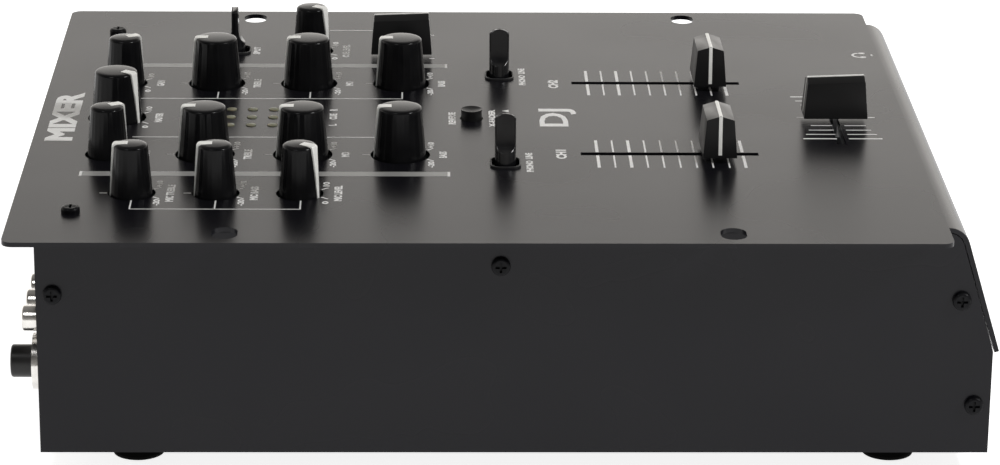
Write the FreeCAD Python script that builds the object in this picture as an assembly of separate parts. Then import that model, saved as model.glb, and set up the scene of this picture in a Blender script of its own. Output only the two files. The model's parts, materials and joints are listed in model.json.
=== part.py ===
import FreeCAD, Part
import math
import os

# A two-channel desktop mixer for a disc jockey, ten inches wide: a bent steel
# faceplate with rack ears over a folded steel tray, with turning knobs, sliding
# faders, bat toggles and push buttons.  Millimetres.  +X is the player's right,
# +Y points to the rear, +Z is up.  The origin is on the table, under the middle
# of the part's box.

os.makedirs("parts", exist_ok=True)

# ---------------------------------------------------------------- driving sizes
plate_width = 254.0        # faceplate, ear to ear
plate_length = 290.2       # faceplate, rear edge to the front corners of the ears
plate_sheet = 1.5          # faceplate thickness
plate_corner = 3.5         # corner radius of the ears
lip_bend = 7.0             # outer bend radius where the plate turns down in front
lip_slope = 17.0           # degrees that the lip leans out from the vertical
lip_drop = 40.7            # lip's end, below the top of the plate

ear = 14.8                 # plate beyond the tray on each side
tray_height = 73.4         # tray's underside to the plate's underside
tray_sheet = 1.2           # side walls, floor, front and rear panels
tray_rear = 8.5            # rear edge of the side walls, in from the plate's rear edge
cover_gap = 0.3            # all round between tray and faceplate
panel_inset = 0.6          # front panel, in from the side walls' front edge
rear_inset = 1.0           # rear panel, in from the side walls' rear edge
flange = 14.0              # folded edges that take the screws

foot_radius = 8.6
foot_height = 6.5
foot_well = 3.2            # depth of the recess for the foot's screw
foot_in_x = 16.0           # foot centre, in from the tray's side
foot_in_y = 29.6           # foot centre, in from the tray's front and rear

row_pitch = 39.2           # between the five rows of knobs, across the mixer
row_shift = -1.8           # the rows of knobs and switches stand left of the middle
channel_shift = -0.5       # and so, by less, do the two channel faders
gain_y = 26.0              # distances from the plate's rear edge
eq_y = 57.4
eq_pitch = 31.7
mic_y = 36.5
mic_pitch = 26.4
knob_height = 16.8         # above the plate
knob_sink = 1.0            # skirt below the plate's top
narrow_hole_gap = 0.8      # between a skirt and its hole
wide_hole_gap = 1.2
wide_base = 8.5            # knob radii
wide_top = 7.0
narrow_base = 6.7
narrow_top = 5.35

shaft_radius = 3.0
running_gap = 0.05         # turning and sliding fits
seat_gap = 0.03            # pressed-on caps
pot_side = 11.0
pot_height = 5.5
bush_radius = 4.4
board_depth = 14.0         # control board's top, below the plate's top
board_sheet = 1.6

slot_width = 3.0           # fader slots in the plate
slot_play = 6.5            # slot past the lever's middle at each end of its travel
channel_travel = 45.0
channel_y = 208.6
cross_y = 266.2
cue_travel = 30.0
cue_x = 82.0
cue_y = 120.8
cap_length = 21.3          # fader caps, at their base
cap_width = 11.1
cap_top_length = 19.3
cap_top_width = 9.0
cap_gap = 2.0              # under the cap
cap_shoulder = 14.5        # above the plate
cap_ridge = 15.7
blade_thick = 1.2
blade_wide = 8.0
carriage_length = 12.0
carriage_width = 8.4
carriage_height = 4.0
frame_wall = 1.2

toggle_x = 48.4            # out from the middle row
toggle_y = 154.8
split_y = 62.0             # small switch in the right-hand row
toggle_hole_long = 10.0    # the way it tips
toggle_hole_wide = 9.2
toggle_hole_corner = 2.8
bat_width = 6.9
bat_thick = 2.6
bat_top = 16.2             # above the plate, standing upright
bat_tilt = 12.0            # degrees each side of upright
pivot_depth = 6.0
ball_radius = 2.6

button_radius = 3.5
button_hole = 3.9
button_top = 3.3
button_y = 144.5
button_travel = 1.5

light_rows = 3
light_columns = 7
light_row_pitch = 8.6
light_column_pitch = 7.1
light_y = 71.0             # middle column
light_shift = -1.2         # middle row, left of the middle
light_radius = 1.65
light_proud = 0.25         # straight sides
light_dome = 0.3
light_gap = 0.15

screw_head = 2.95          # M3 pan heads
screw_head_height = 1.9
screw_shank = 1.45
screw_length = 6.0
screw_hole = 1.6
plate_screw_in = 12.6      # faceplate screws, in from the side walls
plate_screw_y = 18.8

ear_slot_out = 5.8         # slots for rack bolts: middle, out from the tray
ear_slot_y = (67.4, 223.2)
ear_slot_length = 10.8
ear_slot_width = 8.0

rca_pitch = 14.5
rca_in = 16.0              # first socket, in from the side wall
rca_depth = 36.4           # below the plate's top
rca_radius = 4.15
rca_reach = 7.0            # beyond the rear panel
rca_neck = 3.8             # barrel where it passes the panel
rca_foot = 0.5             # neck's end, beyond the panel
rca_pin = 1.65
jack_bore = 3.2            # quarter-inch plugs
jack_bush = 4.5
jack_depth = 28.0
jack_proud = 2.2           # bush beyond its panel
nut_thick = 1.6
nut_flats = 12.5
rear_jack_x = (-20.0, 45.0, 70.0)
jack_half = 6.5            # half the height of a jack's case
jack_clear = 0.5           # under a jack's case
front_jack_in = 38.0       # headphones jack, in from the side wall
front_jack_height = 16.4   # above the tray's underside
power_in = 16.5            # power button, in from the side wall
power_half = 8.0
power_clear = 5.1          # power switch, above the main board
power_radius = 5.2
power_reach = 11.0         # button's tip beyond the rear panel
power_travel = 3.0
power_gap = 0.6
bezel_radius = 9.0         # plated ring round the power button
bezel_thick = 4.0
inlet_pitch = 28.5         # from the power button
ground_x = 7.0
ground_depth = 56.0
ground_bolt_radius = 2.0

main_board_height = 8.0    # standoffs
main_board_in = 19.0       # in from the side walls
main_board_y = 40.0        # rear edge, from the plate's rear edge
main_board_length = 210.0

# ------------------------------------------------------------- worked-out levels
floor_z = foot_height
under_z = floor_z + tray_height
top_z = under_z + plate_sheet
board_z = top_z - board_depth
lean = math.radians(lip_slope)
turn = math.radians(90.0 - lip_slope)
lip_corner = plate_length + lip_bend * math.tan(turn / 2)
lip_end = lip_corner + lip_drop * math.tan(lean)
tray_width = plate_width - 2 * ear
tray_front = lip_end - (plate_sheet + cover_gap) / math.cos(lean)
rear_recess = tray_rear + rear_inset
front_recess = tray_front - panel_inset
rear_reach = max(0.0, power_reach - rear_recess, rca_reach - rear_recess)
front_reach = max(lip_end, front_recess + jack_proud)
rear_edge = (front_reach - rear_reach) / 2
wall_in = tray_width / 2 - tray_sheet
rear_face = rear_edge - rear_recess
front_face = rear_edge - front_recess
plate_screw_x = wall_in - plate_screw_in
plate_screw_at = rear_edge - plate_screw_y
ear_slot_x = tray_width / 2 + ear_slot_out
main_z = floor_z + tray_sheet + main_board_height
power_x = wall_in - power_in
power_z = main_z + board_sheet + power_clear + power_half
rear_z = main_z + board_sheet + jack_clear + jack_half
front_z = floor_z + front_jack_height
front_jack_x = wall_in - front_jack_in
inlet_x = power_x - inlet_pitch
ground_z = top_z - ground_depth


# -------------------------------------------------------------------- small tools
def save(name, solids):
    shape = solids[0] if len(solids) == 1 else Part.makeCompound(solids)
    shape.exportStep("parts/" + name + ".step")
    print(name, len(shape.Solids), "solids", round(shape.Volume), "mm3")


def box(x0, x1, y0, y1, z0, z1):
    corner = FreeCAD.Vector(min(x0, x1), min(y0, y1), min(z0, z1))
    return Part.makeBox(abs(x1 - x0), abs(y1 - y0), abs(z1 - z0), corner)


def post(radius, x, y, z0, z1):
    return Part.makeCylinder(radius, z1 - z0, FreeCAD.Vector(x, y, z0))


def rod_y(radius, x, z, y0, y1):
    along = FreeCAD.Vector(0, 1, 0)
    return Part.makeCylinder(radius, y1 - y0, FreeCAD.Vector(x, y0, z), along)


def rod_x(radius, y, z, x0, x1):
    along = FreeCAD.Vector(1, 0, 0)
    return Part.makeCylinder(radius, x1 - x0, FreeCAD.Vector(x0, y, z), along)


def joined(pieces):
    return pieces[0].fuse(pieces[1:]).removeSplitter()


def spun(outline, x, y):
    """A solid of revolution about the vertical line through x, y."""
    points = [FreeCAD.Vector(x + r, y, z) for r, z in outline]
    face = Part.Face(Part.makePolygon(points + [points[0]]))
    return face.revolve(FreeCAD.Vector(x, y, 0), FreeCAD.Vector(0, 0, 1), 360)


def across(wire_points, x0, x1):
    """A side outline of (y, z) points, or of edges, pulled along X."""
    points = [FreeCAD.Vector(x0, y, z) for y, z in wire_points]
    face = Part.Face(Part.makePolygon(points + [points[0]]))
    return face.extrude(FreeCAD.Vector(x1 - x0, 0, 0))


def tapered(base, top, base_z, tip_z, x, y):
    """A four-sided block from one (x size, y size) rectangle up to another."""
    wires = []
    for size, z in ((base, base_z), (top, tip_z)):
        half_x = size[0] / 2
        half_y = size[1] / 2
        signs = ((-1, -1), (1, -1), (1, 1), (-1, 1))
        points = [FreeCAD.Vector(x + a * half_x, y + b * half_y, z) for a, b in signs]
        wires.append(Part.makePolygon(points + [points[0]]))
    return Part.makeLoft(wires, True, True)


def pan_screw():
    """An M3 pan-head screw with its head's seat at z = 0, pointing down."""
    head = Part.makeCylinder(screw_head, screw_head_height)
    head = head.makeFillet(0.9, [head.Edges[0]])
    arm = 0.4
    reach = 1.7
    depth = 1.1
    cross = box(-reach, reach, -arm, arm, screw_head_height - depth, screw_head_height)
    cross = cross.fuse(box(-arm, arm, -reach, reach, screw_head_height - depth, screw_head_height))
    shank = post(screw_shank, 0, 0, -screw_length, 0)
    return joined([head, shank]).cut(cross)


def placed(shape, x, y, z, axis=(0, 0, 1), angle=0.0):
    moved = shape.copy()
    turned = FreeCAD.Rotation(FreeCAD.Vector(*axis), angle)
    moved.Placement = FreeCAD.Placement(FreeCAD.Vector(x, y, z), turned).multiply(shape.Placement)
    return moved


# ------------------------------------------------------------------ what sits where
# Each knob: name, row across the mixer, distance from the rear edge, base and top radii.
knobs = [
    ("mic_treble", -2, mic_y, narrow_base, narrow_top),
    ("mic_bass", -2, mic_y + mic_pitch, narrow_base, narrow_top),
    ("mic_level", -2, mic_y + 2 * mic_pitch, narrow_base, narrow_top),
    ("left_gain", -1, gain_y, narrow_base, narrow_top),
    ("left_treble", -1, eq_y, wide_base, wide_top),
    ("left_mid", -1, eq_y + eq_pitch, wide_base, wide_top),
    ("left_bass", -1, eq_y + 2 * eq_pitch, wide_base, wide_top),
    ("master_level", 0, gain_y, wide_base, wide_top),
    ("right_gain", 1, gain_y, narrow_base, narrow_top),
    ("right_treble", 1, eq_y, wide_base, wide_top),
    ("right_mid", 1, eq_y + eq_pitch, wide_base, wide_top),
    ("right_bass", 1, eq_y + 2 * eq_pitch, wide_base, wide_top),
    ("cue_level", 2, eq_y + eq_pitch, narrow_base, narrow_top),
]

# Each fader: name, slot's middle, the way it runs, travel, and where it stands.
faders = [
    ("left_fader", channel_shift - row_pitch, rear_edge - channel_y, "y", channel_travel, -15.6),
    ("right_fader", channel_shift + row_pitch, rear_edge - channel_y, "y", channel_travel, -18.2),
    ("crossfader", 0.0, rear_edge - cross_y, "x", channel_travel, -2.6),
    ("cue_fader", cue_x, rear_edge - cue_y, "x", cue_travel, -11.0),
]

# Each toggle: name, place, the way it tips, and its angle from upright at rest.
toggles = [
    ("left_input_toggle", row_shift - toggle_x, rear_edge - toggle_y, "x", bat_tilt),
    ("right_input_toggle", row_shift + toggle_x, rear_edge - toggle_y, "x", bat_tilt),
    ("cue_split_toggle", row_shift + 2 * row_pitch, rear_edge - split_y, "y", 0.0),
]


# ----------------------------------------------------------------------- faceplate
def make_faceplate():
    plate = box(-plate_width / 2, plate_width / 2, rear_edge - plate_length, rear_edge, under_z, top_z)
    upright = [e for e in plate.Edges if abs(e.Vertexes[0].Z - e.Vertexes[1].Z) > plate_sheet / 2]
    plate = plate.makeFillet(plate_corner, upright)
    bend_y = rear_edge - plate_length
    bend_z = top_z - lip_bend

    def on_bend(radius, angle):
        y = bend_y - radius * math.sin(angle)
        return FreeCAD.Vector(-tray_width / 2, y, bend_z + radius * math.cos(angle))

    inner = lip_bend - plate_sheet
    slant = FreeCAD.Vector(0, -math.sin(lean), -math.cos(lean))
    outer_foot = on_bend(lip_bend, turn)
    run = (outer_foot.z - (top_z - lip_drop)) / math.cos(lean)
    outer_tip = outer_foot + slant * run
    inner_foot = on_bend(inner, turn)
    inner_tip = inner_foot + slant * run
    edges = [
        Part.Arc(on_bend(lip_bend, 0), on_bend(lip_bend, turn / 2), outer_foot).toShape(),
        Part.LineSegment(outer_foot, outer_tip).toShape(),
        Part.LineSegment(outer_tip, inner_tip).toShape(),
        Part.LineSegment(inner_tip, inner_foot).toShape(),
        Part.Arc(inner_foot, on_bend(inner, turn / 2), on_bend(inner, 0)).toShape(),
        Part.LineSegment(on_bend(inner, 0), on_bend(lip_bend, 0)).toShape(),
    ]
    lip = Part.Face(Part.Wire(edges)).extrude(FreeCAD.Vector(tray_width, 0, 0))
    plate = joined([plate, lip])

    holes = []
    for name, row, from_rear, base, top in knobs:
        gap = wide_hole_gap if base == wide_base else narrow_hole_gap
        x = row_shift + row * row_pitch
        holes.append(post(base + gap, x, rear_edge - from_rear, under_z, top_z))
    for name, x, y, way, travel, stand in faders:
        half = travel / 2 + slot_play
        length_x = half if way == "x" else slot_width / 2
        length_y = half if way == "y" else slot_width / 2
        holes.append(box(x - length_x, x + length_x, y - length_y, y + length_y, under_z, top_z))
    for name, x, y, way, rest in toggles:
        holes.append(toggle_hole(x, y, way))
    holes.append(post(button_hole, row_shift, rear_edge - button_y, under_z, top_z))
    for x, y in light_places():
        holes.append(post(light_radius + light_gap, x, y, under_z, top_z))
    for side in (-1, 1):
        holes.append(post(screw_hole, side * plate_screw_x, plate_screw_at, under_z, top_z))
        for from_rear in ear_slot_y:
            holes.append(ear_slot(side * ear_slot_x, rear_edge - from_rear))
    return plate.cut(holes)


def ear_slot(x, y):
    straight = (ear_slot_length - ear_slot_width) / 2
    round_end = ear_slot_width / 2
    middle = box(x - straight, x + straight, y - round_end, y + round_end, under_z, top_z)
    ends = [post(round_end, x + s * straight, y, under_z, top_z) for s in (-1, 1)]
    return joined([middle] + ends)


def toggle_hole(x, y, way):
    half_x = (toggle_hole_long if way == "x" else toggle_hole_wide) / 2
    half_y = (toggle_hole_wide if way == "x" else toggle_hole_long) / 2
    hole = box(x - half_x, x + half_x, y - half_y, y + half_y, under_z, top_z)
    upright = [e for e in hole.Edges if abs(e.Vertexes[0].Z - e.Vertexes[1].Z) > plate_sheet / 2]
    return hole.makeFillet(toggle_hole_corner, upright)


def light_places():
    places = []
    for row in range(light_rows):
        for column in range(light_columns):
            x = light_shift + (row - (light_rows - 1) / 2) * light_row_pitch
            y = rear_edge - light_y - (column - (light_columns - 1) / 2) * light_column_pitch
            places.append((x, y))
    return places


save("faceplate", [make_faceplate()])


# ----------------------------------------------------------------- tray and panels
def side_outline(x0, x1, sheet_in):
    """The side walls' outline: it follows the faceplate's bend and lip from inside."""
    bend_y = rear_edge - plate_length
    bend_z = top_z - lip_bend
    radius = lip_bend - plate_sheet - cover_gap
    rear_y = rear_edge - tray_rear - sheet_in
    front_y = rear_edge - tray_front + sheet_in
    low_z = floor_z

    def vector(y, z):
        return FreeCAD.Vector(x0, y, z)

    start = vector(bend_y, bend_z + radius)
    middle = vector(bend_y - radius * math.sin(turn / 2), bend_z + radius * math.cos(turn / 2))
    end = vector(bend_y - radius * math.sin(turn), bend_z + radius * math.cos(turn))
    knee = vector(front_y, end.z - (end.y - front_y) / math.tan(lean))
    rear_foot = vector(rear_y, low_z)
    rear_head = vector(rear_y, bend_z + radius)
    corners = [end, knee, vector(front_y, low_z), rear_foot, rear_head, start]
    edges = [Part.Arc(start, middle, end).toShape()]
    for first, second in zip(corners, corners[1:]):
        edges.append(Part.LineSegment(first, second).toShape())
    return Part.Face(Part.Wire(edges)).extrude(FreeCAD.Vector(x1 - x0, 0, 0))


def side_screw_places():
    """(y, z) of the screws in each side wall."""
    low = top_z - 58.7
    return [
        (rear_face - 4.2, top_z - 22.2),
        (rear_edge - plate_length / 2 - 7.0, top_z - 12.6),
        (rear_edge - plate_length - 5.1, top_z - 23.8),
        (front_face + 4.6, low),
    ]


def make_tray():
    outside = tray_width / 2
    walls = [side_outline(-outside, -wall_in, 0.0), side_outline(wall_in, outside, 0.0)]
    front = rear_edge - tray_front
    rear = rear_edge - tray_rear
    floor = box(-outside, outside, front, rear, floor_z, floor_z + tray_sheet)
    tray = joined(walls + [floor])
    holes = []
    for y, z in side_screw_places():
        holes.append(rod_x(screw_hole, y, z, -outside, -wall_in))
        holes.append(rod_x(screw_hole, y, z, wall_in, outside))
    for x, y in foot_places():
        holes.append(post(screw_hole, x, y, floor_z, floor_z + tray_sheet))
    return tray.cut(holes)


def foot_places():
    x = tray_width / 2 - foot_in_x
    rear = rear_edge - tray_rear - foot_in_y
    front = rear_edge - tray_front + foot_in_y
    return [(-x, rear), (x, rear), (-x, front), (x, front)]


def make_front_panel():
    sheet_top = floor_z + tray_sheet
    knee_z = top_z - lip_drop - 0.5
    panel = box(-wall_in, wall_in, front_face, front_face + tray_sheet, sheet_top, knee_z)
    foot = box(-wall_in, wall_in, front_face, front_face + flange, sheet_top, sheet_top + tray_sheet)
    sides = []
    for x0, x1 in ((-wall_in, -wall_in + tray_sheet), (wall_in - tray_sheet, wall_in)):
        whole = side_outline(x0, x1, panel_inset)
        keep = box(x0, x1, front_face, front_face + flange + 8.0, sheet_top, top_z - 16.0)
        sides.append(whole.common(keep))
    panel = joined([panel, foot] + sides)
    jack = rod_y(jack_bush + light_gap, front_jack_x, front_z, front_face, front_face + tray_sheet)
    holes = [jack]
    for y, z in side_screw_places()[2:]:
        holes.append(rod_x(screw_hole, y, z, -wall_in, wall_in))
    return panel.cut(holes)


def make_rear_panel():
    sheet_top = floor_z + tray_sheet
    head_z = under_z
    panel = box(-wall_in, wall_in, rear_face - tray_sheet, rear_face, sheet_top, head_z)
    foot = box(-wall_in, wall_in, rear_face - flange, rear_face, sheet_top, sheet_top + tray_sheet)
    folds = []
    fold_y = rear_face - flange
    tab_y = fold_y - 2.0
    tab_x = plate_screw_x - 8.0
    for side in (-1, 1):
        fold_x = side * (wall_in - tray_sheet)
        folds.append(box(side * wall_in, fold_x, fold_y, rear_face, sheet_top, head_z))
        folds.append(box(side * wall_in, side * tab_x, tab_y, rear_face, head_z - tray_sheet, head_z))
    panel = joined([panel, foot] + folds)
    round_holes = [(rca_radius + light_gap, x, top_z - rca_depth) for x in rca_places()]
    round_holes += [(jack_bush + light_gap, x, rear_z) for x in rear_jack_x + (-inlet_x,)]
    round_holes.append((power_radius + power_gap, -power_x, power_z))
    round_holes.append((ground_bolt_radius + light_gap, ground_x, ground_z))
    holes = [rod_y(radius, x, z, rear_face - tray_sheet, rear_face) for radius, x, z in round_holes]
    for side in (-1, 1):
        holes.append(post(screw_hole, side * plate_screw_x, plate_screw_at, head_z - tray_sheet, head_z))
    y, z = side_screw_places()[0]
    holes.append(rod_x(screw_hole, y, z, -wall_in, wall_in))
    return panel.cut(holes)


def rca_places():
    """Three groups of four sockets, evenly pitched inside each group."""
    left = [-(wall_in - rca_in) + i * rca_pitch for i in range(4)]
    middle = [(i - 1.5) * rca_pitch for i in range(4)]
    right = [-x for x in reversed(left)]
    return left + middle + right


def make_brackets():
    """Angles that hang from the plate and take the side walls' middle screws."""
    y, z = side_screw_places()[1]
    half = 8.0
    angles = []
    for side in (-1, 1):
        hanging = box(side * wall_in, side * (wall_in - tray_sheet), y - half, y + half, z - 6.0, under_z)
        shelf = box(side * wall_in, side * (wall_in - 9.0), y - half, y + half, under_z - tray_sheet, under_z)
        angles.append(joined([hanging, shelf]).cut(rod_x(screw_hole, y, z, -wall_in, wall_in)))
    return angles


save("chassis_tray", [make_tray()])
save("front_panel", [make_front_panel()])
save("rear_panel", [make_rear_panel()])
save("cover_brackets", make_brackets())


# ---------------------------------------------------------------- feet and screws
def make_foot(x, y):
    edge = 1.6
    well = 3.6
    bore = screw_hole
    outline = [
        (bore, foot_well), (well, foot_well), (well, 0.0), (foot_radius - edge, 0.0),
        (foot_radius - edge * 0.3, edge * 0.3), (foot_radius, edge), (foot_radius - 0.5, foot_height),
        (bore, foot_height),
    ]
    return spun(outline, x, y)


def make_screws():
    screw = pan_screw()
    screws = []
    for side in (-1, 1):
        screws.append(placed(screw, side * plate_screw_x, plate_screw_at, top_z))
        for y, z in side_screw_places():
            screws.append(placed(screw, side * tray_width / 2, y, z, (0, 1, 0), side * 90))
    for x, y in foot_places():
        screws.append(placed(screw, x, y, foot_well, (1, 0, 0), 180))
    return screws


save("rubber_feet", [make_foot(x, y) for x, y in foot_places()])
save("case_screws", make_screws())


# ------------------------------------------------------------ knobs and their pots
def knob_cap(x, y, base, top):
    low = top_z - knob_sink
    high = top_z + knob_height
    crown = 1.6
    outline = [
        (0.0, low + 11.0), (shaft_radius + seat_gap, low + 11.0), (shaft_radius + seat_gap, low),
        (base, low), (top, high - crown * 0.95), (top - 0.18, high - crown * 0.55),
        (top - 0.7, high - crown * 0.3), (top - crown, high - crown * 0.16), (top * 0.4, high - 0.03),
        (0.0, high),
    ]
    return spun(outline, x, y)


def pot_body(x, y):
    half = pot_side / 2
    case = box(x - half, x + half, y - half, y + half, board_z, board_z + pot_height)
    bush = post(bush_radius, x, y, board_z + pot_height, under_z - 1.0)
    bore = post(shaft_radius + running_gap, x, y, board_z + 0.6, under_z)
    return joined([case, bush]).cut(bore)


pots = []
for name, row, from_rear, base, top in knobs:
    x = row_shift + row * row_pitch
    y = rear_edge - from_rear
    save(name + "_knob", [knob_cap(x, y, base, top)])
    save(name + "_shaft", [post(shaft_radius, x, y, board_z + 0.8, top_z - knob_sink + 11.0)])
    pots.append(pot_body(x, y))
save("pot_bodies", pots)


# ------------------------------------------------------- faders: frame, lever, cap
def turned_for(shape, x, y, way):
    """A fader drawn along Y about the origin, put at x, y and turned for its slot."""
    return placed(shape, x, y, 0, (0, 0, 1), 0 if way == "y" else 90)


frame_top = under_z - 1.5
carriage_top = frame_top - frame_wall - running_gap
carriage_foot = carriage_top - carriage_height


def fader_frame(travel):
    half = travel / 2 + carriage_length / 2 + 1.0
    inner = carriage_width / 2 + running_gap
    outer = inner + frame_wall
    foot = carriage_foot - running_gap
    case = box(-outer, outer, -half - frame_wall, half + frame_wall, foot - frame_wall, frame_top)
    hollow = box(-inner, inner, -half, half, foot, frame_top - frame_wall)
    slot = box(-slot_width / 2, slot_width / 2, -half, half, frame_top - frame_wall, frame_top)
    return case.cut([hollow, slot])


def fader_lever():
    carriage = box(-carriage_width / 2, carriage_width / 2, -carriage_length / 2, carriage_length / 2,
                   carriage_foot, carriage_top)
    blade = box(-blade_thick / 2, blade_thick / 2, -blade_wide / 2, blade_wide / 2,
                carriage_top, top_z + cap_shoulder - 3.0)
    return joined([carriage, blade])


def fader_cap():
    """A ridged cap: the ridge lies across the travel and both top faces fall from it."""
    body = tapered((cap_length, cap_width), (cap_top_length, cap_top_width),
                   top_z + cap_gap, top_z + cap_shoulder, 0, 0)
    half_x = cap_top_length / 2
    half_y = cap_top_width / 2
    roof = across([(-half_y, top_z + cap_shoulder), (half_y, top_z + cap_shoulder), (0, top_z + cap_ridge)],
                  -half_x, half_x)
    pocket = box(-blade_thick / 2 - seat_gap, blade_thick / 2 + seat_gap,
                 -blade_wide / 2 - seat_gap, blade_wide / 2 + seat_gap,
                 top_z + cap_gap, top_z + cap_shoulder - 3.0)
    return joined([body, roof]).cut(pocket)


channel_frames = []
for name, x, y, way, travel, stand in faders:
    frame = turned_for(fader_frame(travel), x, y, way)
    at_x = x + (stand if way == "x" else 0.0)
    at_y = y + (stand if way == "y" else 0.0)
    save(name + "_lever", [turned_for(fader_lever(), at_x, at_y, way)])
    save(name + "_cap", [turned_for(fader_cap(), at_x, at_y, way)])
    if way == "y":
        channel_frames.append(frame)
    else:
        save(name + "_frame", [frame])
save("channel_fader_frames", channel_frames)


# --------------------------------------------------------- toggles and push buttons
def toggle_bat():
    """A flat paddle on a round neck with a ball at the origin; its flat faces +X and -X."""
    neck = post(1.5, 0, 0, 0, pivot_depth + 4.0)
    ball = Part.makeSphere(ball_radius)
    high = pivot_depth + bat_top
    shoulder = pivot_depth + 1.5
    half = bat_width / 2
    paddle = tapered((bat_thick + 0.6, bat_width - 0.4), (bat_thick - 0.4, bat_width), shoulder, high, 0, 0)
    crown = rod_x(half + 0.6, 0, high - half - 0.6, -4.0, 4.0)
    below = box(-4.0, 4.0, -half - 1.0, half + 1.0, shoulder - 1.0, high - half)
    paddle = paddle.common(joined([crown, below]))
    return joined([ball, neck, paddle])


def toggle_body():
    """The switch under the plate: a case with a round socket, flared above the ball."""
    high = pivot_depth - plate_sheet - 1.0
    low = -(board_depth - pivot_depth)
    case = box(-5.0, 5.0, -6.5, 6.5, low, high)
    socket = Part.makeSphere(ball_radius + running_gap)
    flare = Part.makeCone(1.9, 1.9 + (high + 0.01) * math.tan(math.radians(30)), high + 0.01)
    return case.cut([socket, flare])


switches = []
pivot_z = top_z - pivot_depth
for name, x, y, way, rest in toggles:
    spin = 0 if way == "x" else 90
    tipped = placed(toggle_bat(), 0, 0, 0, (0, 1, 0), rest)
    save(name, [placed(tipped, x, y, pivot_z, (0, 0, 1), spin)])
    switches.append(placed(toggle_body(), x, y, pivot_z, (0, 0, 1), spin))

button_at = rear_edge - button_y
stem = 1.8
button_low = top_z - 3.0
dish = Part.makeSphere(9.0, FreeCAD.Vector(row_shift, button_at, top_z + button_top - 0.7 + 9.0))
button = joined([post(button_radius, row_shift, button_at, button_low, top_z + button_top),
                 post(stem, row_shift, button_at, button_low - 4.5, button_low)]).cut(dish)
save("fader_reverse_button", [button])
switch_top = button_low - button_travel - 0.3
reverse_case = box(row_shift - 4.0, row_shift + 4.0, button_at - 4.0, button_at + 4.0, board_z, switch_top)
reverse_well = post(stem + running_gap, row_shift, button_at, board_z + 0.8, switch_top)
switches.append(reverse_case.cut(reverse_well))

panel_back = rear_face - tray_sheet
power_neck = panel_back - 3.0
power_stem = 2.5
power_stem_end = panel_back - 14.0
power_cap = rod_y(power_radius, -power_x, power_z, power_neck, rear_face + power_reach)
rim = [e for e in power_cap.Edges if abs(e.BoundBox.YMin - rear_face - power_reach) < 0.01]
power_cap = power_cap.makeFillet(0.8, [e for e in rim if e.BoundBox.YLength < 0.01])
save("power_button", [joined([power_cap, rod_y(power_stem, -power_x, power_z, power_stem_end, power_neck)])])
power_case = box(-power_x - power_half, -power_x + power_half, power_stem_end - 8.0, panel_back,
                 power_z - power_half, power_z + power_half)
power_well = rod_y(power_radius + power_gap, -power_x, power_z, power_neck - power_travel - 0.6, panel_back)
power_guide = rod_y(power_stem + running_gap, -power_x, power_z,
                    power_stem_end - power_travel - 0.6, panel_back)
switches.append(power_case.cut([power_well, power_guide]))
save("switch_bodies", switches)


# --------------------------------------------------------------- lights and boards
lights = []
for x, y in light_places():
    body = post(light_radius, x, y, board_z, top_z + light_proud)
    ball = (light_radius ** 2 + light_dome ** 2) / (2 * light_dome)
    dome = Part.makeSphere(ball, FreeCAD.Vector(x, y, top_z + light_proud + light_dome - ball))
    lens = post(light_radius, x, y, top_z + light_proud, top_z + light_proud + light_dome).common(dome)
    lights.append(joined([body, lens]))
save("meter_lights", lights)

board_rear = rear_edge - gain_y + pot_side
board_front = rear_edge - toggle_y - 8.0
save("control_board", [box(-2 * row_pitch - 9.0, 2 * row_pitch + 9.0, board_front, board_rear,
                           board_z - board_sheet, board_z)])

main_rear = rear_edge - main_board_y
main_front = main_rear - main_board_length
main_board_x = wall_in - main_board_in
save("main_board", [box(-main_board_x, main_board_x, main_front, main_rear, main_z, main_z + board_sheet)])
standoffs = []
for x in (-main_board_x + 6.0, 0.0, main_board_x - 6.0):
    for y in (main_front + 6.0, main_rear - 6.0):
        standoffs.append(post(3.0, x, y, floor_z + tray_sheet, main_z))
save("board_standoffs", standoffs)


# ---------------------------------------------------------------------- connectors
def rca_jack(x):
    z = top_z - rca_depth
    neck = rod_y(rca_neck, x, z, rear_face - tray_sheet, rear_face + rca_foot)
    barrel = rod_y(rca_radius, x, z, rear_face + rca_foot, rear_face + rca_reach)
    block = box(x - 5.0, x + 5.0, rear_face - tray_sheet - 10.0, rear_face - tray_sheet, z - 6.0, z + 5.5)
    pin_hole = rod_y(rca_pin, x, z, rear_face - 6.0, rear_face + rca_reach)
    return joined([barrel, neck, block]).cut(pin_hole)


def phone_jack(x, z, face, outward):
    """A quarter-inch jack: threaded bush through the panel and a case behind it."""
    inside = face - outward * tray_sheet
    tip = face + outward * jack_proud
    bush = rod_y(jack_bush, x, z, min(inside, tip), max(inside, tip))
    case = box(x - 7.5, x + 7.5, inside, inside - outward * jack_depth, z - jack_half, z + jack_half)
    ends = (tip, inside - outward * (jack_depth - 2.0))
    bore = rod_y(jack_bore, x, z, min(ends), max(ends))
    return joined([bush, case]).cut(bore)


def hex_nut(x, z, face, outward, flats, hole, thick):
    corner = flats / math.sqrt(3)
    points = []
    for i in range(7):
        angle = math.radians(60 * i)
        points.append(FreeCAD.Vector(x + corner * math.cos(angle), face, z + corner * math.sin(angle)))
    block = Part.Face(Part.makePolygon(points)).extrude(FreeCAD.Vector(0, outward * thick, 0))
    ends = (face, face + outward * thick)
    return block.cut(rod_y(hole, x, z, min(ends), max(ends)))


save("rca_jacks", [rca_jack(x) for x in rca_places()])

jacks = [phone_jack(x, rear_z, rear_face, 1) for x in rear_jack_x]
jacks.append(phone_jack(front_jack_x, front_z, front_face, -1))
save("phone_jacks", jacks)

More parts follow.
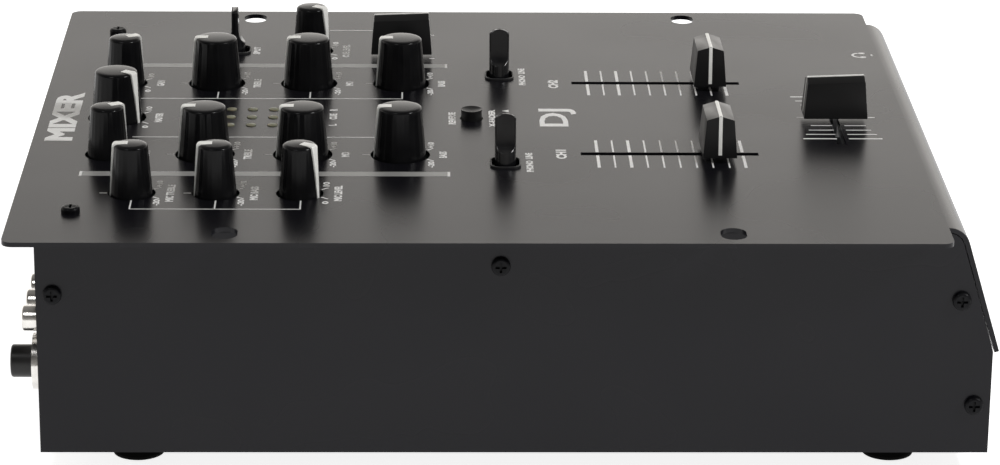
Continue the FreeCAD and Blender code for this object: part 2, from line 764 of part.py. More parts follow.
nuts = [hex_nut(x, rear_z, rear_face, 1, nut_flats, jack_bush + seat_gap, nut_thick) for x in rear_jack_x]
nuts.append(hex_nut(front_jack_x, front_z, front_face, -1, nut_flats, jack_bush + seat_gap, nut_thick))
bezel_front = rear_face + bezel_thick
bezel = rod_y(bezel_radius, -power_x, power_z, rear_face, bezel_front)
nuts.append(bezel.cut(rod_y(power_radius + power_gap, -power_x, power_z, rear_face, bezel_front)))
save("panel_nuts", nuts)

thumb = rod_y(4.6, ground_x, ground_z, rear_face + 1.6, rear_face + 7.0)
ground_bolt = rod_y(ground_bolt_radius, ground_x, ground_z, rear_face - 8.0, rear_face + 7.0)
washer = rod_y(4.0, ground_x, ground_z, rear_face, rear_face + 1.6)
save("ground_post", [joined([thumb, ground_bolt, washer])])

inlet_tip = rear_face + 1.5
inlet_end = rear_face - 9.0
inlet_case = box(-inlet_x - 6.0, -inlet_x + 6.0, panel_back - 12.0, panel_back, rear_z - 6.0, rear_z + 6.0)
inlet_bush = rod_y(jack_bush, -inlet_x, rear_z, panel_back, inlet_tip)
inlet_bore = rod_y(3.0, -inlet_x, rear_z, inlet_end, inlet_tip)
inlet_pin = rod_y(1.0, -inlet_x, rear_z, inlet_end, rear_face)
save("power_inlet", [joined([joined([inlet_case, inlet_bush]).cut(inlet_bore), inlet_pin])])

print("box depth", round(front_reach + rear_reach, 2), "rear edge y", round(rear_edge, 3), "top z", top_z)
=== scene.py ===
# %% [markdown]
# # A two-channel mixer for a disc jockey
# The mixer is a box of folded steel with a bent faceplate on top. Knobs, sliding
# faders, flat-handled switches and small lights come up through holes in the plate,
# and all lettering is printed on it. The engineering model gives every part's place,
# so this notebook adds finishes, better-shaped handles and the printing.

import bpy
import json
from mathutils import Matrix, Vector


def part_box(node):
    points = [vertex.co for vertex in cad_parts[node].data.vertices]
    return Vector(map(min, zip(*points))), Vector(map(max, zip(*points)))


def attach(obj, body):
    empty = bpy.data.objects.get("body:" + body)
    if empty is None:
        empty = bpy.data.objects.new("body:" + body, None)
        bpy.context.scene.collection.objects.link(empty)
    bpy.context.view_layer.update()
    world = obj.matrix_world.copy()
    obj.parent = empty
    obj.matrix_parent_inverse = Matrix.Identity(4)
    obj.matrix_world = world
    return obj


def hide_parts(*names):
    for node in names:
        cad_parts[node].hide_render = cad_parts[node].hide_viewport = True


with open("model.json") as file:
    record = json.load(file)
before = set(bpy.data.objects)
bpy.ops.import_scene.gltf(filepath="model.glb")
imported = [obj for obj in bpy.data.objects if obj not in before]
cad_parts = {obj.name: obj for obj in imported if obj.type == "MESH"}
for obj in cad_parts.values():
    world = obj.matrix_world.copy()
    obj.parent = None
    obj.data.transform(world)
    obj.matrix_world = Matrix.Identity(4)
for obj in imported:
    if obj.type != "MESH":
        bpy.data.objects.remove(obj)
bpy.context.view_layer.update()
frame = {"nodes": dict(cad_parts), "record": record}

# %% Measures read from the frame
import json
import math

import bmesh
import bpy
from mathutils import Matrix, Vector

MM = 0.001
plate_low, plate_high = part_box("faceplate")
TOP = plate_high.z
REAR = plate_high.y
print(f"plate top {TOP / MM:.1f} mm above the table, rear edge at y {REAR / MM:.1f} mm")

# %% [markdown]
# ## Finishes
# Each finish is a Principled shader with small differences of colour, roughness and
# height. One fine noise gives the grain that catches the light, and one broad noise
# gives the slow changes that handling and uneven paint leave. Both read the object's
# own coordinates, in metres, so the grain keeps its real size on every part.

# %% One builder for all the finishes
def noise(tree, coords, size, detail=3.0):
    """A noise whose lumps are about size metres across."""
    node = tree.nodes.new("ShaderNodeTexNoise")
    node.inputs["Scale"].default_value = 1.0 / size
    node.inputs["Detail"].default_value = detail
    tree.links.new(coords, node.inputs["Vector"])
    return node.outputs["Fac"]


def spread(tree, value, low, high):
    """Turns a noise's middle values into low..high, with soft ends."""
    node = tree.nodes.new("ShaderNodeMapRange")
    node.inputs["From Min"].default_value = 0.3
    node.inputs["From Max"].default_value = 0.7
    node.inputs["To Min"].default_value = low
    node.inputs["To Max"].default_value = high
    node.interpolation_type = "SMOOTHSTEP"
    tree.links.new(value, node.inputs["Value"])
    return node.outputs["Result"]


def blend_colours(tree, factor, first, second):
    """Mixes two colours by a noise."""
    node = tree.nodes.new("ShaderNodeMix")
    node.data_type = "RGBA"
    node.inputs["A"].default_value = (*first, 1.0)
    node.inputs["B"].default_value = (*second, 1.0)
    tree.links.new(factor, node.inputs["Factor"])
    return node.outputs["Result"]


def finish(name, dark, light, rough, grain, depth, broad=0.03, stretch=(1, 1, 1), **sockets):
    """A finish: two near colours, a range of roughness, and grain of a size and depth in m."""
    material = bpy.data.materials.new(name)
    material.use_nodes = True
    tree = material.node_tree
    shader = tree.nodes["Principled BSDF"]
    place = tree.nodes.new("ShaderNodeTexCoord")
    turn = tree.nodes.new("ShaderNodeMapping")
    turn.inputs["Scale"].default_value = stretch
    tree.links.new(place.outputs["Object"], turn.inputs["Vector"])
    coords = turn.outputs["Vector"]
    fine = noise(tree, coords, grain)
    slow = noise(tree, coords, broad, 2.0)
    colour = blend_colours(tree, spread(tree, slow, 0.0, 1.0), dark, light)
    tree.links.new(colour, shader.inputs["Base Color"])
    tree.links.new(spread(tree, slow, *rough), shader.inputs["Roughness"])
    bump = tree.nodes.new("ShaderNodeBump")
    bump.inputs["Strength"].default_value = 1.0
    bump.inputs["Distance"].default_value = depth
    tree.links.new(fine, bump.inputs["Height"])
    tree.links.new(bump.outputs["Normal"], shader.inputs["Normal"])
    for socket, value in sockets.items():
        shader.inputs[socket.replace("_", " ")].default_value = value
    return material


# %% [markdown]
# The case is coated with a satin black powder paint. Its skin is very slightly
# pebbled. Seen from a low angle it mirrors a pale room as warm grey, while the upright
# sides stay nearly black, so the paint has to be dark and only moderately rough.

# %% Paint, plastics and metals
black_paint = finish("black_paint", (0.0050, 0.0049, 0.0068), (0.0066, 0.0064, 0.0082),
                     (0.25, 0.28), 0.0007, 0.0000035, broad=0.06, Specular_IOR_Level=0.19)
knob_plastic = finish("knob_plastic", (0.005, 0.005, 0.0056), (0.007, 0.007, 0.0076),
                      (0.15, 0.21), 0.0004, 0.000004, broad=0.008, Specular_IOR_Level=0.12)
fader_plastic = finish("fader_plastic", (0.004, 0.004, 0.0045), (0.006, 0.006, 0.0065),
                       (0.28, 0.36), 0.0004, 0.000004, broad=0.01, Specular_IOR_Level=0.28)
toggle_plastic = finish("toggle_plastic", (0.005, 0.005, 0.006), (0.008, 0.008, 0.009),
                        (0.16, 0.24), 0.0005, 0.000003, broad=0.006, Specular_IOR_Level=0.5)
button_plastic = finish("button_plastic", (0.005, 0.005, 0.005), (0.008, 0.008, 0.008),
                        (0.34, 0.44), 0.0003, 0.000005, broad=0.006, Specular_IOR_Level=0.35)
switch_plastic = finish("switch_plastic", (0.010, 0.010, 0.011), (0.016, 0.016, 0.017),
                        (0.45, 0.55), 0.0004, 0.00001, broad=0.006)
jack_plastic = finish("jack_plastic", (0.008, 0.008, 0.009), (0.014, 0.014, 0.015), (0.35, 0.45),
                      0.0004, 0.000008, broad=0.006)
foot_rubber = finish("foot_rubber", (0.001, 0.001, 0.001), (0.002, 0.002, 0.002), (0.65, 0.85),
                     0.0005, 0.00003, broad=0.006, Specular_IOR_Level=0.03)
screw_black = finish("black_screws", (0.003, 0.003, 0.004), (0.006, 0.006, 0.007), (0.26, 0.40),
                     0.0003, 0.000008, broad=0.003, Specular_IOR_Level=0.10)
white_ink = finish("white_ink", (0.76, 0.76, 0.75), (0.86, 0.86, 0.85), (0.42, 0.52),
                   0.0003, 0.000004, broad=0.004)
grey_ink = finish("grey_ink", (0.27, 0.27, 0.265), (0.31, 0.31, 0.30), (0.40, 0.50),
                  0.0003, 0.000004, broad=0.004)
pointer_white = finish("pointer_white", (0.80, 0.80, 0.77), (0.88, 0.88, 0.85), (0.35, 0.42),
                       0.0004, 0.000004, broad=0.004)
light_plastic = finish("light_plastic", (0.17, 0.17, 0.11), (0.23, 0.225, 0.155), (0.35, 0.5),
                       0.0005, 0.00001, broad=0.002, Subsurface_Weight=0.15, Subsurface_Scale=0.001)
zinc_steel = finish("zinc_steel", (0.50, 0.51, 0.53), (0.62, 0.63, 0.65), (0.32, 0.45),
                    0.0006, 0.000006, broad=0.01, Metallic=1.0)
lever_metal = finish("lever_metal", (0.45, 0.46, 0.48), (0.56, 0.57, 0.59), (0.30, 0.42),
                     0.0004, 0.000008, broad=0.006, stretch=(1, 1, 0.1), Metallic=1.0)
shaft_metal = finish("shaft_metal", (0.60, 0.60, 0.61), (0.72, 0.72, 0.73), (0.28, 0.38),
                     0.0002, 0.000006, broad=0.004, stretch=(0.1, 0.1, 1), Metallic=1.0)
nickel_plate = finish("nickel_plate", (0.60, 0.585, 0.56), (0.72, 0.705, 0.68), (0.14, 0.24),
                      0.0006, 0.000004, broad=0.004, Metallic=1.0)
brass = finish("brass", (0.62, 0.46, 0.19), (0.76, 0.60, 0.28), (0.22, 0.34),
               0.0004, 0.000005, broad=0.005, Metallic=1.0)
board_laminate = finish("board_laminate", (0.008, 0.060, 0.018), (0.014, 0.095, 0.030),
                        (0.30, 0.45), 0.0012, 0.00003, broad=0.004)
insulator_white = finish("insulator_white", (0.62, 0.62, 0.60), (0.74, 0.74, 0.72), (0.30, 0.42),
                         0.0005, 0.000006, broad=0.004)
insulator_red = finish("insulator_red", (0.42, 0.016, 0.014), (0.54, 0.026, 0.020), (0.30, 0.42),
                       0.0005, 0.000006, broad=0.004)
print(len(bpy.data.materials), "finishes")

# %% [markdown]
# Parts of the engineering model that already have the right shape keep their mesh. Each
# one says which material slot it belongs to, so one table dresses them all.

# %% Dress the carried-over parts
finishes = {
    "black_paint": black_paint, "zinc_steel": zinc_steel, "foot_rubber": foot_rubber,
    "black_screws": screw_black, "knob_plastic": knob_plastic, "shaft_metal": shaft_metal,
    "lever_metal": lever_metal, "fader_plastic": fader_plastic, "toggle_plastic": toggle_plastic,
    "button_plastic": button_plastic, "switch_plastic": switch_plastic,
    "light_plastic": light_plastic,
    "board_laminate": board_laminate, "brass": brass, "nickel_plate": nickel_plate,
    "jack_plastic": jack_plastic,
}
slot_of = {part["node"]: part["material_slot"] for part in frame["record"]["subparts"]}
for node, part in frame["nodes"].items():
    part.data.materials.clear()
    part.data.materials.append(finishes[slot_of[node]])
print("dressed", len(slot_of), "nodes")


# %% [markdown]
# ## The printing on the faceplate
# White ink is screen-printed on the black paint. It could be painted by a texture, but
# then its edges would blur when the camera comes close, so every line and letter is a
# very thin raised solid. Lines are flattened cubes. Words come from a text curve that is
# made a mesh first, then squeezed into the box that the print takes.

# %% Helpers for thin printed shapes
INK = 0.03    # how far the ink stands out of the paint, in mm


def on_plate(x, back, lift=0.0):
    """A point over the faceplate, in mm: x, distance in front of its rear edge, height."""
    return Vector((x * MM, REAR - back * MM, TOP + lift * MM))


def bar(bm, x0, back0, x1, back1, width):
    """A printed line from one point of the plate to another."""
    start, end = on_plate(x0, back0), on_plate(x1, back1)
    along = end - start
    turn = Matrix.Rotation(math.atan2(along.y, along.x), 4, "Z")
    size = Matrix.Diagonal((along.length, width * MM, INK * MM, 1.0))
    middle = (start + end) / 2 + Vector((0, 0, INK * MM / 2))
    bmesh.ops.create_cube(bm, size=1.0, matrix=Matrix.Translation(middle) @ turn @ size)


def words(bm, text, x0, x1, back, height, place=None, heavy=0.05):
    """Printed words from x0 to x1, as tall as height, their middle at back, in mm.

    heavy is how much each stroke is thickened, as a share of the font's size.
    """
    curve = bpy.data.curves.new("words", "FONT")
    curve.body, curve.extrude, curve.resolution_u = text, 0.05, 3
    curve.bevel_depth, curve.bevel_resolution = heavy, 0
    text_object = bpy.data.objects.new("words", curve)
    mesh = bpy.data.meshes.new_from_object(text_object)
    letters = bmesh.new()
    letters.from_mesh(mesh)
    bmesh.ops.remove_doubles(letters, verts=letters.verts, dist=0.0005)
    low = Vector([min(v.co[k] for v in letters.verts) for k in range(3)])
    high = Vector([max(v.co[k] for v in letters.verts) for k in range(3)])
    size = high - low
    print_size = (x1 - x0, height, INK)
    squeeze = Matrix.Diagonal((*(wanted * MM / had for wanted, had in zip(print_size, size)), 1.0))
    foot = Vector(((low.x + high.x) / 2, (low.y + high.y) / 2, low.z))
    where = place or Matrix.Translation(on_plate((x0 + x1) / 2, back))
    bmesh.ops.transform(letters, matrix=where @ squeeze @ Matrix.Translation(-foot),
                        verts=letters.verts)
    letters.to_mesh(mesh)
    letters.free()
    bm.from_mesh(mesh)
    bpy.data.objects.remove(text_object)
    bpy.data.curves.remove(curve)
    bpy.data.meshes.remove(mesh)


def piece(name, bm, material, body, replaced=(), sharp=35.0):
    """Turns a bmesh into a named piece on a body; edges past sharp degrees stay crisp."""
    bmesh.ops.recalc_face_normals(bm, faces=bm.faces)
    mesh = bpy.data.meshes.new(name)
    bm.to_mesh(mesh)
    bm.free()
    mesh.shade_smooth()
    mesh.set_sharp_from_angle(angle=math.radians(sharp))
    mesh.materials.append(material)
    made = bpy.data.objects.new(name, mesh)
    bpy.context.scene.collection.objects.link(made)
    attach(made, body)
    if replaced:
        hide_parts(*replaced)


print("ink stands", INK, "mm over the plate")


# %% [markdown]
# Every knob has a short line at its start and end of travel, a number beside each and
# the name of what it does in front. Tone knobs have one more line at the middle.

# %% Rows of knobs, left to right across the mixer
WIDE, NARROW = (8.5, 7.0), (6.7, 5.35)    # radius at the foot, radius at the top
knobs = {
    # name: (row, radii, degrees turned clockwise, printed words, end numbers, middle line)
    "mic_treble": (-2, NARROW, 0, "MIC TREBLE", ("-20", "+10"), True),
    "mic_bass": (-2, NARROW, 0, "MIC BASS", ("-20", "+10"), True),
    "mic_level": (-2, NARROW, -150, "MIC LEVEL", ("0", "10"), False),
    "left_gain": (-1, NARROW, 150, "GAIN", ("0", "10"), False),
    "left_treble": (-1, WIDE, 0, "TREBLE", ("-20", "+10"), True),
    "left_mid": (-1, WIDE, 0, "MID", ("-20", "+10"), True),
    "left_bass": (-1, WIDE, 0, "BASS", ("-20", "+10"), True),
    "master_level": (0, WIDE, -150, "MASTER", ("0", "10"), False),
    "right_gain": (1, NARROW, 150, "GAIN", ("0", "10"), False),
    "right_treble": (1, WIDE, 0, "TREBLE", ("-20", "+10"), True),
    "right_mid": (1, WIDE, 0, "MID", ("-20", "+10"), True),
    "right_bass": (1, WIDE, 0, "BASS", ("-20", "+10"), True),
    "cue_level": (2, NARROW, -150, "CUE LEVEL", ("0", "10"), False),
}


def place_of(node):
    """The middle of a node: its x, and how far it is in front of the rear edge, in mm."""
    low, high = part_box(node)
    middle = (Vector(low) + Vector(high)) / 2
    return middle.x / MM, (REAR - middle.y) / MM


print(len(knobs), "knobs, the first at", [round(c, 1) for c in place_of("mic_treble_knob")])

# %% [markdown]
# The plate's hole is a little larger than the knob, and more so round the wide ones. The
# printed lines begin just outside the hole, or they would hang in the air over it.

# %% Scales round the knobs
NARROW_GAP, WIDE_GAP = 1.1, 1.5           # from a knob's foot to where its lines begin
END_LINE, MIDDLE_LINE = 2.6, 2.4          # lengths of the lines
NEAR_WAY, FAR_WAY = (0.48, 0.877), (0.52, 0.854)    # directions of a line's two ends
NUMBER_ROOM, NAME_ROOM = 0.85, 0.83       # half the width of one character


def knob_scale(bm, x, back, base, text, ends, middle):
    """The lines, numbers and name printed round one knob."""
    gap = WIDE_GAP if base == WIDE[0] else NARROW_GAP
    near, far = base + gap, base + gap + END_LINE
    for side, number in zip((-1, 1), ends):
        bar(bm, x + side * near * NEAR_WAY[0], back + near * NEAR_WAY[1],
            x + side * far * FAR_WAY[0], back + far * FAR_WAY[1], 0.6)
        wide = NUMBER_ROOM * len(number) + 0.5
        at = x + side * (base * 0.6 + 5.0)
        words(bm, number, at - wide, at + wide, back + base + 1.5, 2.1)
    if middle:
        bar(bm, x, back - near, x, back - near - MIDDLE_LINE, 0.5)
    half = NAME_ROOM * len(text)
    words(bm, text, x - half, x + half, back + base + 5.4, 2.6)


groups = {-2: "mic_printing", -1: "left_tone_printing", 0: "master_printing",
          1: "right_tone_printing", 2: "cue_printing"}
sheets = {row: bmesh.new() for row in groups}
for name, (row, radii, turned, text, ends, middle) in knobs.items():
    knob_scale(sheets[row], *place_of(name + "_knob"), radii[0], text, ends, middle)
print("scales printed for", len(knobs), "knobs")

# %% [markdown]
# Thin lines tie the knobs of one group together, like brackets. They are flattened cubes
# again, added to the same sheet of ink as the group's scales, so a group is one piece.

# %% Lines between the knobs
def bracket(bm, x, backs, reach, start=None):
    """A line along the mixer with a short foot towards each knob."""
    bar(bm, x, start if start is not None else backs[0], x, backs[-1] + 0.25, 0.5)
    for back in backs:
        bar(bm, x, back, x + reach, back, 0.5)


MIC_FEET, TONE_FEET, TONE_START = (36.8, 63.2, 89.8), (58.4, 89.8, 121.2), 32.5
bracket(sheets[-2], -95.6, MIC_FEET, 8.2)
bracket(sheets[-1], -22.8, TONE_FEET, -7.5, start=TONE_START)
bracket(sheets[1], 19.8, TONE_FEET, 7.5, start=TONE_START)
bar(sheets[2], 102.6, 94.8, 102.6, 112.0, 0.5)
for row, name in groups.items():
    piece(name, sheets[row], white_ink, "root")
print(len(groups), "groups printed")

# %% [markdown]
# A broad grey bar runs beside each column of tone knobs and ends in thin white lines.
# The grey is a second ink, so the bars are a piece of their own.

# %% Broad grey bars with white ends
GROUP_BAR, BAR_START, BAR_END = 4.5, 19.2, 136.0
bars = bmesh.new()
bar_ends = bmesh.new()
for x in (-60.9, 58.5):
    bar(bars, x, BAR_START, x, BAR_END, GROUP_BAR)
    for back in (18.8, 136.4):
        bar(bar_ends, x - GROUP_BAR / 2, back, x + GROUP_BAR / 2, back, 0.9)
piece("group_bars", bars, grey_ink, "root")
piece("group_bar_ends", bar_ends, white_ink, "root")
print("two bars,", BAR_END - BAR_START, "mm long")

# %% [markdown]
# The remaining names are one table: what is printed, from where to where across the
# mixer, how far from the rear edge, how tall, and how heavy its strokes are.

# %% Names of the switches, faders and lights
names = (
    ("PHONO  LINE", -58.5, -38.9, 162.6, 2.4, 0.05),
    ("PHONO  LINE", 36.0, 55.6, 162.6, 2.4, 0.05),
    ("CH1", -44.9, -35.5, 173.2, 3.5, 0.05),
    ("CH2", 32.6, 42.0, 173.2, 3.5, 0.05),
    ("DJ", -10.6, 9.0, 173.5, 12.6, 0.02),
    ("MIXER", -27.0, 26.0, 8.5, 9.1, 0.055),
    ("REVERSE", -8.5, 4.6, 138.0, 2.5, 0.05),
    ("X-FADER", -11.3, 7.5, 151.4, 2.2, 0.05),
    ("L", -10.2, -8.4, 98.2, 2.6, 0.05),
    ("CUE", -3.4, 3.0, 98.2, 2.6, 0.05),
    ("R", 6.2, 8.2, 98.2, 2.6, 0.05),
    ("SPLIT", 72.4, 81.4, 69.6, 2.4, 0.05),
    ("2", 96.0, 97.2, 131.5, 1.8, 0.05),
    ("1", 67.2, 68.0, 131.5, 1.8, 0.05),
)
marks = bmesh.new()
for text, x0, x1, back, height, heavy in names:
    words(marks, text, x0, x1, back, height, heavy=heavy)
piece("function_names", marks, white_ink, "root")
print(len(names), "names printed")

# %% [markdown]
# Each fader has a ladder of short lines on both sides of its slot. The channel faders'
# first, third and last lines are thicker. The crossfader's lines grow outwards from the
# middle.

# %% Ladders beside the faders
FIRST_TICK, TICK_PITCH, TICKS = 185.0, 5.27, 10
TICK_START, TICK_END = 1.7, 14.2     # from the middle of the slot
scales = bmesh.new()
for x in (-39.7, 38.7):
    for tick in range(TICKS):
        width = 1.0 if tick in (0, 2, 9) else 0.55
        back = FIRST_TICK + tick * TICK_PITCH
        for side in (-1, 1):
            bar(scales, x + side * TICK_START, back, x + side * TICK_END, back, width)
CROSS_BACK, CROSS_START = 267.0, 2.0
crossfader_lines = ((8.9, 9.2, 0.7), (13.9, 10.4, 0.7), (18.5, 11.8, 0.7), (23.2, 13.1, 0.95))
for x, half, width in crossfader_lines:
    for side in (-1, 1):
        for way in (-1, 1):
            bar(scales, side * x, CROSS_BACK + way * CROSS_START,
                side * x, CROSS_BACK + way * half, width)
bar(scales, 0.0, 253.9, 0.0, 256.2, 0.7)
bar(scales, 0.0, 277.6, 0.0, 280.2, 0.7)
piece("fader_scales", scales, white_ink, "root")
print("ladders of", TICKS, "lines")

# %% [markdown]
# A small sign of a pair of headphones stands near the front edge. Its band is half a
# ring, spun from one small square, and its two pads and the dot are flat discs. A cone
# whose two radii are equal is a disc, and one with three sides is an arrowhead.

# %% The headphones sign and the arrow
def disc(bm, x, back, radius, stretch=1.0, sides=24):
    """A flat disc of ink; stretch makes it an oval."""
    place = Matrix.Translation(on_plate(x, back, INK / 2))
    bmesh.ops.create_cone(bm, cap_ends=True, segments=sides, radius1=radius * MM,
                          radius2=radius * MM, depth=INK * MM,
                          matrix=place @ Matrix.Diagonal((1.0, stretch, 1.0, 1.0)))


sign = bmesh.new()
ring_middle = on_plate(73.0, 283.4)
rim = [sign.verts.new(ring_middle + Vector((r * MM, 0, z * MM))) for r, z in
       ((2.1, 0), (3.0, 0), (3.0, INK), (2.1, INK))]
band = sign.faces.new(rim)
bmesh.ops.spin(sign, geom=[band, *band.edges, *rim], cent=ring_middle, axis=(0, 0, 1),
               angle=math.pi, steps=20)
for side in (-1, 1):
    disc(sign, 73.0 + side * 2.4, 284.2, 0.9, 1.4)
disc(sign, 73.1, 287.6, 0.95, 0.4)
piece("headphones_sign", sign, white_ink, "root")

arrow = bmesh.new()
disc(arrow, 6.4, 156.4, 1.5, sides=3)
piece("arrow_sign", arrow, white_ink, "root")
print("signs printed")


# %% [markdown]
# ## Knobs
# A knob is a tapered drum of black plastic with a soft shoulder, a slightly domed top
# and shallow grooves for the fingers. A lathe would make it, so its half-section is spun
# round the shaft. The white pointer is a separate moulding that runs over the shoulder
# and down the side, so it is its own thin strip that follows the same outline.

# %% The knob's half-section
KNOB_TOP, SKIRT, SHAFT_SEAT = 16.74, -1.0, 10.0    # heights over the plate, in mm
SHAFT_HOLE, SHOULDER = 3.03, 0.8                   # radii
GROOVES, GROOVE_DEPTH, GROOVE_END = 24, 0.10, 14.0


def outer_outline(base, rim):
    """The outside of a knob from the foot of its side to the middle of its top."""
    fall = 0.30 if base == WIDE[0] else 0.42
    side_top = KNOB_TOP - fall - SHOULDER
    side = [(base + (rim - base) * t, SKIRT + (side_top - SKIRT) * t)
            for t in (0.0, 0.06, 0.3, 0.6, 0.9, 1.0)]
    turn = [(rim - SHOULDER + SHOULDER * math.cos(a), side_top + SHOULDER * math.sin(a))
            for a in (math.radians(d) for d in (12, 26, 42, 58, 74))]
    dome = [(rim * t, KNOB_TOP - fall * t * t) for t in (0.85, 0.7, 0.55, 0.4, 0.25, 0.12)]
    return side + turn + dome


def knob(name, radii, turned):
    """One knob at its rest angle; gives back its place and turn, for its pointer."""
    base, rim = radii
    bm = bmesh.new()
    outline = [(0.0, SHAFT_SEAT), (SHAFT_HOLE, SHAFT_SEAT), (SHAFT_HOLE, SKIRT)]
    outline += outer_outline(base, rim) + [(0.0, KNOB_TOP)]
    ring = [bm.verts.new((r * MM, 0, z * MM)) for r, z in outline]
    edges = [bm.edges.new(pair) for pair in zip(ring, ring[1:])]
    bmesh.ops.spin(bm, geom=ring + edges, cent=(0, 0, 0), axis=(0, 0, 1), angle=2 * math.pi,
                   steps=96, use_merge=True)
    bmesh.ops.remove_doubles(bm, verts=bm.verts, dist=1e-7)
    for v in bm.verts:
        radius = math.hypot(v.co.x, v.co.y)
        if radius > (rim - 0.4) * MM and 0.2 * MM < v.co.z < GROOVE_END * MM:
            groove = max(0.0, math.cos(GROOVES * math.atan2(v.co.y, v.co.x)))
            v.co.xy *= 1.0 - GROOVE_DEPTH * MM * groove / radius
    place = Matrix.Translation(on_plate(*place_of(name + "_knob")))
    place = place @ Matrix.Rotation(math.radians(-turned), 4, "Z")
    bmesh.ops.transform(bm, matrix=place, verts=bm.verts)
    piece(name + "_cap", bm, knob_plastic, name, [name + "_knob"])
    return place



# %% [markdown]
# The pointer starts as a strip of quads along the knob's outline. It is narrow at the
# skirt and widens upwards. Each row bends round the drum, and solidify gives the strip
# its thickness.

# %% Pointers, and all the knobs
POINTER_FOOT, POINTER_THICK = -0.7, 0.9
FOOT_HALF, TOP_HALF = 0.5, 1.5       # half the strip's width at its foot and at the top


def pointer(name, base, rim, place):
    """The white rib, from near the middle of the top down to the skirt."""
    start = 2.8 if base == WIDE[0] else 0.9
    side_top = KNOB_TOP - 0.85
    middle_line = [(base + 0.30, POINTER_FOOT), (base + (rim - base) * 0.5 + 0.44, side_top / 2),
                   (rim + 0.55, side_top), (rim + 0.42, KNOB_TOP - 0.42),
                   (rim + 0.10, KNOB_TOP - 0.14), (rim - 0.5, KNOB_TOP),
                   ((rim + start) / 2, KNOB_TOP + 0.02), (start, KNOB_TOP + 0.02)]
    bm = bmesh.new()
    rows = []
    for radius, z in middle_line:
        height = max(0.0, min(1.0, (z - POINTER_FOOT) / (side_top - POINTER_FOOT)))
        half = FOOT_HALF + (TOP_HALF - FOOT_HALF) * height ** 1.5
        row = []
        for step in (-1.0, -0.5, 0.0, 0.5, 1.0):
            across = step * half
            out = math.sqrt(radius * radius - across * across) if z < KNOB_TOP - 0.1 else radius
            row.append(bm.verts.new((across, out, z)))
        rows.append(row)
    for below, above in zip(rows, rows[1:]):
        for k in range(4):
            bm.faces.new((below[k], below[k + 1], above[k + 1], above[k]))
    bmesh.ops.recalc_face_normals(bm, faces=bm.faces)
    bmesh.ops.solidify(bm, geom=bm.faces[:], thickness=POINTER_THICK)
    bmesh.ops.scale(bm, vec=(MM, MM, MM), verts=bm.verts)
    bmesh.ops.transform(bm, matrix=place, verts=bm.verts)
    piece(name + "_pointer", bm, pointer_white, name, sharp=50)


for name, (row, radii, turned, *rest) in knobs.items():
    place = knob(name, radii, turned)
    pointer(name, *radii, place)
print(len(knobs), "knobs with pointers")


# %% [markdown]
# ## Fader caps
# A fader cap is a moulded block that narrows upwards and ends in a low roof. It starts
# as a cube. Its top is drawn in, a cut along the middle gives the ridge, and a small
# bevel rounds the edges. The white line lies along the ridge and runs down both ends.

# %% Caps and their lines
CAP_LONG, CAP_WIDE, ROOF_LONG, ROOF_WIDE = 21.3, 11.1, 19.3, 9.0
CAP_FOOT, CAP_EAVES, CAP_RIDGE = 2.0, 14.5, 15.7   # heights over the plate
CAP_FALL = 0.7                                     # one end is lower by this
shrink = Matrix.Diagonal((MM, MM, MM, 1.0))


def cap_end(z):
    """How far the middle of a cap's end face is from its middle, at a height."""
    return (CAP_LONG - (CAP_LONG - ROOF_LONG) * (z - CAP_FOOT) / (CAP_EAVES - CAP_FOOT)) / 2


def cap_place(name, sideways):
    """Where a cap stands; sideways turns it for a fader that slides across the mixer."""
    place = Matrix.Translation(on_plate(*place_of(name + "_cap")))
    if sideways:
        place = place @ Matrix.Rotation(math.pi / 2, 4, "Z")
    return place


def fader_cap(name, place):
    """The block with its low roof."""
    bm = bmesh.new()
    bmesh.ops.create_cube(bm, size=2.0)
    bmesh.ops.bisect_plane(bm, geom=bm.verts[:] + bm.edges[:] + bm.faces[:], dist=1e-5,
                           plane_co=(0, 0, 0), plane_no=(0, 1, 0))
    for v in bm.verts:
        z = CAP_FOOT
        half_width = CAP_WIDE / 2
        if v.co.z > 0:
            z = CAP_RIDGE if abs(v.co.y) < 0.01 else CAP_EAVES
            z -= CAP_FALL if v.co.x > 0 else 0.0
            half_width = ROOF_WIDE / 2
        v.co = (v.co.x * cap_end(z), v.co.y * half_width, z)
    bmesh.ops.bevel(bm, geom=[e for e in bm.edges if e.calc_face_angle(0) > 0.1], offset=0.16,
                    affect="EDGES", segments=2, profile=0.5, material=-1)
    bmesh.ops.transform(bm, matrix=place @ shrink, verts=bm.verts)
    piece(name + "_handle", bm, fader_plastic, name, [name + "_cap"], sharp=20)


# %% [markdown]
# The white line is a strip three points wide, folded over the ridge like the roof below
# it, and a little above it. It is given a thickness, so that it is a solid of its own.

# %% White lines on the caps
LINE_HALF, LINE_FOOT, LINE_THICK = 0.58, 3.0, 0.25
LIFT, PROUD = 0.34, 0.05         # how far it stands over the ridge, and out of the ends


